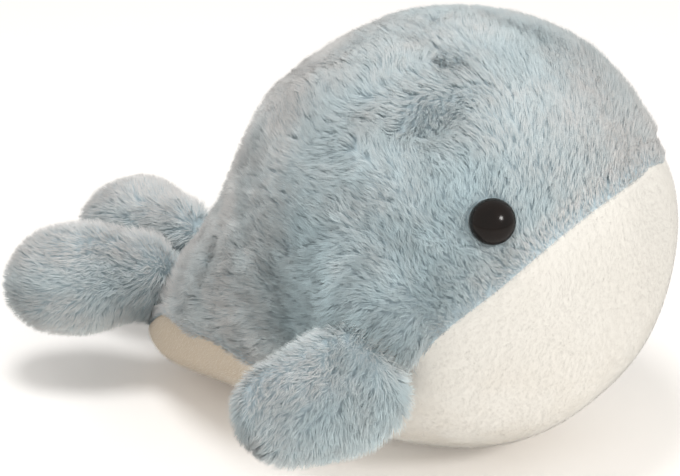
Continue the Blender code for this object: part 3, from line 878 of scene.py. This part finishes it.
def makeStage():
    middle = Vector((0, 0, body["middleUp"]))
    turned, above = shot["turned"], shot["above"]
    towards = Vector((sin(turned) * cos(above), -cos(turned) * cos(above), sin(above)))
    right = Vector((cos(turned), sin(turned), 0))
    up = towards.cross(right)

    world = bpy.data.worlds.new("studio")
    bpy.context.scene.world = world
    world.use_nodes = True
    nodes, link = world.node_tree.nodes, world.node_tree.links.new
    nodes.clear()
    ray = nodes.new("ShaderNodeLightPath")
    seen = nodes.new("ShaderNodeMath")
    seen.operation = "MAXIMUM"
    link(ray.outputs["Is Camera Ray"], seen.inputs[0])
    link(ray.outputs["Is Glossy Ray"], seen.inputs[1])
    level = nodes.new("ShaderNodeMapRange")
    level.inputs["To Min"].default_value = studio["worldLight"]
    level.inputs["To Max"].default_value = 1.0
    link(seen.outputs[0], level.inputs["Value"])
    tint = nodes.new("ShaderNodeMix")
    tint.data_type = "RGBA"
    tint.inputs["A"].default_value = (*studio["worldColour"], 1)
    tint.inputs["B"].default_value = (1, 1, 1, 1)
    link(seen.outputs[0], tint.inputs["Factor"])
    sky = nodes.new("ShaderNodeBackground")
    link(tint.outputs["Result"], sky.inputs["Color"])
    link(level.outputs["Result"], sky.inputs["Strength"])
    link(sky.outputs["Background"], nodes.new("ShaderNodeOutputWorld").inputs["Surface"])

    bpy.ops.object.select_all(action="DESELECT")
    bpy.ops.mesh.primitive_plane_add(size=studio["floorSize"])
    floor = bpy.context.object
    floor.name = "studioFloor"
    paper = bpy.data.materials.new("studioPaper")
    paper.use_nodes = True
    nodes, link = paper.node_tree.nodes, paper.node_tree.links.new
    shader = nodes["Principled BSDF"]
    shader.inputs["Base Color"].default_value = (*studio["floorColour"], 1)
    shader.inputs["Roughness"].default_value = 0.9
    shader.inputs["Specular IOR Level"].default_value = 0.0
    shader.inputs["Emission Color"].default_value = (*studio["floorWarmth"], 1)
    ray = nodes.new("ShaderNodeLightPath")
    seen = nodes.new("ShaderNodeMath")
    seen.operation = "MAXIMUM"
    link(ray.outputs["Is Camera Ray"], seen.inputs[0])
    link(ray.outputs["Is Glossy Ray"], seen.inputs[1])
    lift = nodes.new("ShaderNodeMapRange")
    lift.inputs["To Min"].default_value = studio["floorBounce"]
    lift.inputs["To Max"].default_value = studio["floorLift"]
    link(seen.outputs[0], lift.inputs["Value"])
    link(lift.outputs["Result"], shader.inputs["Emission Strength"])
    floor.data.materials.append(paper)

    def lamp(name, power, size, place, colour):
        data = bpy.data.lights.new(name, "AREA")
        data.shape = "DISK"
        data.energy, data.size, data.color = power, size, colour
        thing = bpy.data.objects.new(name, data)
        bpy.context.scene.collection.objects.link(thing)
        thing.location = place
        thing.rotation_euler = (middle - thing.location).to_track_quat("-Z", "Y").to_euler()
        return thing

    def standing(way):
        heading = right * way[0] + towards * way[1] + up * way[2]
        return middle + heading.normalized() * studio["lampDistance"]

    lamp("keyLamp", studio["keyPower"], studio["keySize"], standing(studio["keyWay"]), studio["keyColour"])
    top = lamp("topLamp", studio["topPower"], studio["topSize"], Vector(studio["topPlace"]), (1, 1, 1))
    fill = lamp("fillLamp", studio["fillPower"], studio["fillSize"], standing(studio["fillWay"]), (1, 1, 1))
    top.visible_glossy = fill.visible_glossy = False  # the photograph's eye shows one light only

    camera = bpy.data.objects.new("photoCamera", bpy.data.cameras.new("photoCamera"))
    bpy.context.scene.collection.objects.link(camera)
    camera.data.lens = shot["lens"]
    camera.location = middle + towards * shot["distance"]
    aim = middle - right * shot["aimAside"] - up * shot["aimBelow"]
    camera.rotation_euler = (aim - camera.location).to_track_quat("-Z", "Y").to_euler()
    bpy.context.scene.camera = camera
    bpy.context.scene.view_settings.view_transform = "Standard"


# The whale

def finish(thing, material, bodyName):
    thing.data.materials.clear()
    thing.data.materials.append(material)
    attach(thing, bodyName)


def tangent(vectors, normal):
    return vectors - normal * np.sum(vectors * normal, axis=1, keepdims=True)


def change(name, x):
    amount, low, high = changes[name]
    return amount * ramp(x, low, high)


def wandering(at, name):
    size, seed, amount = wanders[name]
    return wander(at, size, seed) * amount


def bodyComb(at, normal):
    back = -at[:, :1]
    rear = change("combTurns", back)
    lie = np.array([combs["forehead"]]) * (1 - rear) + np.array([combs["back"]]) * rear
    lie = tangent(lie + wandering(at, "body"), normal)
    lie = lie + tangent(wandering(at, "swirl"), normal) * change("combSwirls", back)
    for limb, side in fins:  # the pile runs on from the body onto the fin
        near = change("combFins", -inRoot(limb, side, at, 0.0))[:, None]
        lie = lie * (1 - near) + tangent(np.array([limb["points"]]) * (1, side, 1), normal) * near
    for side in (-1, 1):
        middle, _ = eyeSeat(side)
        away = at - np.array(middle)
        off = np.linalg.norm(away, axis=1, keepdims=True)
        near = eyeClearing["combed"] * fadeNear(off, eyeClearing["combedWidth"])
        lie = lie * (1 - near) + tangent(unit(away), normal) * near
    return unit(lie)


def bellyComb(at, normal):
    return unit(tangent(np.array([combs["belly"]]) + wandering(at, "belly"), normal))


def limbComb(limb, side):
    along = np.array([1, side, 1]) * np.array(limb["points"])

    def comb(at, normal):
        return unit(tangent(along + np.array(combs["limbDroop"]) + wandering(at, "limb"), normal))

    return comb


def chosenOf(roots, keep):
    return {name: values[keep] for name, values in roots.items()}


def clearEyes(roots, keep):  # the pile parts for each eye
    for side in (-1, 1):
        middle, outward = eyeSeat(side)
        away = roots["at"] - np.array(middle)
        off = np.linalg.norm(tangent(away, np.array([outward])), axis=1) - eye["radius"]
        near = np.linalg.norm(away, axis=1) < eyeClearing["reach"]
        upright = eyeClearing["upright"] * fadeNear(off, eyeClearing["uprightWidth"])
        roots["lean"][:, 0] -= np.where(near, upright, 0)
        keep &= ~(near & (off < -eyeClearing["overlap"]))
        short = eyeClearing["short"]
        longer = np.clip(short + (1 - short) * off / eyeClearing["shortWidth"], short, 1)
        roots["long"][:, 0] *= np.where(near, longer, 1)


def nearSeam(above, name):
    amount, width = bodyPile[name]
    return amount * fadeNear(above, width)


def shadeBlue(roots, tousled):  # painted light and shade, matched to the pile's look: paler where it faces up, brighter on the nose and where it faces down, darker on the rear flank and on top; also paler at the seam, tail and nose and darker along the seam
    up, back, above = roots["normal"][:, 2:], -roots["at"][:, :1], roots["above"]
    roots["pale"] = bodyPile["pale"] + change("paleTopPaintedLight", up) + nearSeam(above, "seamPale")
    roots["pale"] += change("paleTail", back) + change("paleNose", -back)
    roots["bright"] += change("paintedLightNose", -back) * (1 - change("paintedLightNoseTop", up))
    roots["bright"] += change("paintedLightUnder", -up) - tousled * change("paintedShadeFlank", up)
    roots["bright"] -= change("paintedShadeTop", up) + nearSeam(above, "seamDark")
    roots["lean"] += bodyPile["tousledLean"] * tousled
    roots["long"] += bodyPile["tousledLong"] * tousled


def lengthenBlue(roots):  # short at the seam, long where it runs on over a fin's root, with painted light in the hollow behind and above a fin
    short, above, back = bodyPile["seamLong"], roots["above"], -roots["at"][:, :1]
    roots["long"] *= short + (1 - short) * np.clip(above / seam["blend"], 0, 1)
    for limb, side in fins:
        near = -inRoot(limb, side, roots["at"], 0.0)[:, None]
        roots["bright"] += change("paintedLightHollow", near) * change("paintedLightHollowBack", back)
        roots["long"] += (bodyPile["finLong"] - roots["long"]) * change("longFins", near)
        roots["long"] += change("longFold", near) * change("longAboveSeam", above)


def makeBody():
    skin = makeBodySkin()
    finish(skin, backing, "body")
    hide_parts("body_filling")
    seeds, gap = bodyPile["seeds"], bodyPile["seamGap"]
    kinds = (
        (True, bluePile, seeds["blue"], bodyComb, blueMaterial, "blue_plush"),
        (False, creamPile, seeds["cream"], bellyComb, creamMaterial, "cream_plush"),
    )
    for blue, pile, seed, comb, material, slotName in kinds:
        roots = scatter(skin, pile["perArea"], seed, ("above",))
        keep = roots["above"][:, 0] > gap if blue else roots["above"][:, 0] < -gap
        up, back = roots["normal"][:, 2:], -roots["at"][:, :1]
        tousled = change("tousledBack", back) * change("tousledSide", -up)
        roots["long"] = np.ones((len(keep), 1))
        roots["lean"] = np.ones((len(keep), 1))
        roots["bright"] = np.zeros((len(keep), 1))
        for field in ("messy", "loose"):
            least, more = bodyPile[field]
            roots[field] = least + more * tousled
        roots["loose"] += nearSeam(roots["above"], "seamLoose")
        if blue:
            shadeBlue(roots, tousled)
        else:
            # painted shade under the tail
            roots["pale"] = change("paintedShadeUnderTail", back)
        clearEyes(roots, keep)
        for limb, side in limbs.values():
            keep &= inRoot(limb, side, roots["at"], 0.0) > bodyPile["rootLimit"]
        if blue:
            lengthenBlue(roots)
        kept = chosenOf(roots, keep)
        x, y, z = kept["at"].T
        if blue:
            high = z > borders["crown"] - borders["crownFall"] * np.maximum(x, 0)
            front, rear = x > borders["forehead"], x <= borders["tail"]
            parts = {
                "pileForeheadRight": (y < 0) & high & front,
                "pileForeheadLeft": (y >= 0) & high & front,
                "pileBackRight": (y < 0) & high & ~front,
                "pileBackLeft": (y >= 0) & high & ~front,
                "pileFlankRight": (y < 0) & ~high & ~rear,
                "pileFlankLeft": (y >= 0) & ~high & ~rear,
                "pileTailRight": (y < 0) & ~high & rear,
                "pileTailLeft": (y >= 0) & ~high & rear,
            }
        else:
            face = x > borders["face"]
            parts = {
                "pileFaceRight": (y < 0) & face,
                "pileFaceLeft": (y >= 0) & face,
                "pileBellyRight": (y < 0) & ~face,
                "pileBellyLeft": (y >= 0) & ~face,
            }
        for i, (name, where) in enumerate(parts.items()):
            grown = growPile(name, pile, chosenOf(kept, where), comb, seeds["strands"] + i)
            finish(grown, material, "body")
            if name == "pileFlankRight":
                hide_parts("back_panel_right")
            if name == "pileFlankLeft":
                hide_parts("back_panel_left")
            if name == "pileBellyRight":
                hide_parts("belly_panel")
    return skin


def depthInside(skin, points):  # how far inside a closed skin each point lies
    co = meshPoints(skin)
    tree = BVHTree.FromPolygons([Vector(v) for v in co], [list(f.vertices) for f in skin.data.polygons])
    depth = np.empty(len(points))
    for i, point in enumerate(points):
        nearest, normal, _, _ = tree.find_nearest(Vector(point))
        depth[i] = (nearest - Vector(point)).dot(normal)
    return depth


def makeLimbs(bodySkin):
    for i, (bodyName, (limb, side)) in enumerate(limbs.items()):
        kind, hand = bodyName.split("_")
        name = kind + hand.capitalize()
        skin = makeLimbSkin(name, limb, side)
        pointValues(skin, "above", np.ones(len(skin.data.vertices)))
        finish(skin, backing, bodyName)
        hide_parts(bodyName + "_filling")
        roots = scatter(skin, bluePile["perArea"], limbPile["seeds"]["roots"] + i, ("turn",))
        every = np.ones((len(roots["at"]), 1))
        nearRoot = change("limbRoot", -roots["turn"])
        least, more = limbPile["long"]
        roots["long"] = every * least + more * nearRoot
        for field in ("loose", "lean", "messy"):
            roots[field] = every * limbPile[field]
        roots["pale"] = change("paleLimbTopPaintedLight", roots["normal"][:, 2:])
        # on a fluke: painted light all over, painted shade at the tip
        if limb is fluke:
            roots["bright"] = every * limbPile["flukePaintedLight"] - change("paintedShadeFlukeTip", roots["turn"])
            roots["pale"] += limbPile["flukePaintedLightPale"]
        else:
            roots["bright"] = every * limbPile["finBright"]
            roots["pale"] += change("paleFinTip", roots["turn"])
        facing = unit(np.array([limb["faces"]]) * (1, side, 1))
        turned = limbPile["rootShade"] * nearRoot
        roots["shade"] = unit(roots["normal"] * (1 - turned) + facing * turned)
        atRoot = roots["turn"][:, 0] < limbSkin["bare"]
        kept = chosenOf(roots, ~(atRoot & (depthInside(bodySkin, roots["at"]) > limbSkin["hidden"])))
        pile = growPile(
            name + "Pile", bluePile, kept, limbComb(limb, side), limbPile["seeds"]["strands"] + i)
        finish(pile, blueMaterial, bodyName)
        faces = ("outer", "inner") if kind == "fin" else ("top", "under")
        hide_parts(*[f"{bodyName}_{face}_panel" for face in faces])


def makeEye(hand, side):
    at, outward = eyeSeat(side)
    bpy.ops.object.select_all(action="DESELECT")
    bpy.ops.mesh.primitive_uv_sphere_add(segments=eye["segments"], ring_count=eye["rings"], radius=1)
    dome = bpy.context.object
    dome.name = dome.data.name = "eye" + hand
    bpy.ops.object.mode_set(mode="EDIT")
    bpy.ops.mesh.select_all(action="SELECT")
    bpy.ops.mesh.bisect(plane_co=(0, 0, 0), plane_no=(0, 0, 1), clear_inner=True)
    bpy.ops.mesh.select_all(action="SELECT")
    bpy.ops.transform.resize(value=(eye["radius"], eye["radius"], eye["dome"]), center_override=(0, 0, 0))
    bpy.ops.mesh.select_all(action="DESELECT")
    bpy.ops.mesh.select_mode(type="EDGE")
    bpy.ops.mesh.select_non_manifold()
    bpy.ops.mesh.extrude_region_move(TRANSFORM_OT_translate={"value": (0, 0, -eye["rim"])})
    bpy.ops.mesh.extrude_region_move()
    bpy.ops.transform.resize(value=(eye["neck"], eye["neck"], 1), center_override=(0, 0, 0))
    bpy.ops.transform.translate(value=(0, 0, -eye["neckDepth"]))
    bpy.ops.mesh.edge_face_add()
    bpy.ops.mesh.inset(thickness=eye["radius"] * eye["shank"])
    bpy.ops.mesh.extrude_region_move(TRANSFORM_OT_translate={"value": (0, 0, -eye["shankDepth"])})
    bpy.ops.mesh.select_all(action="SELECT")
    bpy.ops.mesh.normals_make_consistent(inside=False)
    bpy.ops.object.mode_set(mode="OBJECT")
    bpy.ops.object.shade_smooth_by_angle(angle=eye["smoothBelow"])
    x = Vector((0, 0, 1)).cross(outward).normalized()
    turned = Matrix((x, outward.cross(x), outward)).transposed().to_4x4()
    dome.data.transform(Matrix.Translation(at - outward * (eye["sink"] - eye["rim"])) @ turned)
    finish(dome, eyeMaterial, "body")
    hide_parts("eye_" + hand.lower())


makeStage()
print("stage made")
whaleSkin = makeBody()
print("body made")
makeLimbs(whaleSkin)
print("limbs made")
makeEye("Right", -1)
makeEye("Left", 1)
print("eyes made")
for node in ("eye_washer_right", "eye_washer_left"):
    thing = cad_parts[node]
    thing.data.materials.clear()
    thing.data.materials.append(washerMaterial)
